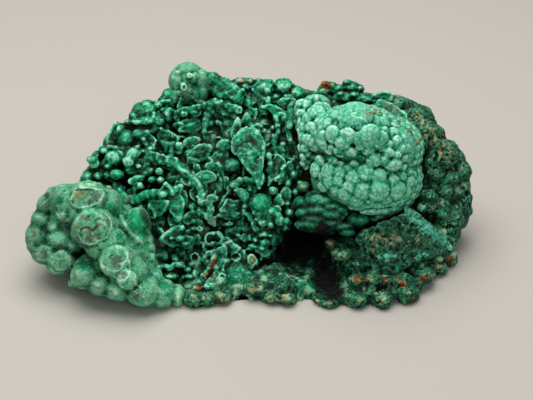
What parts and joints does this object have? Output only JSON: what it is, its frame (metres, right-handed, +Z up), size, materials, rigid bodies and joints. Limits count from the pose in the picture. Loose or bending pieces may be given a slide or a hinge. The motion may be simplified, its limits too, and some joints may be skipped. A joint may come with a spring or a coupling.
{
  "type": "malachite specimen",
  "caption": "Rough malachite cabinet specimen: a cluster of stalactites, a leafy hollow and a botryoidal dome grown as one mass.",
  "frame": {"origin": "middle of the bounding box on the surface that the specimen rests on", "axes": "+X runs along the longest side, from the stalactite cluster to the dome; -Y is the display side; +Z is up"},
  "size_m": [0.224, 0.1226, 0.089],
  "materials": {
    "malachite": "velvety botryoidal malachite, matte, with crusty matrix and rust-brown patches"
  },
  "bodies": {
    "root": {"malachite_specimen": "malachite"}
  },
  "joints": []
}
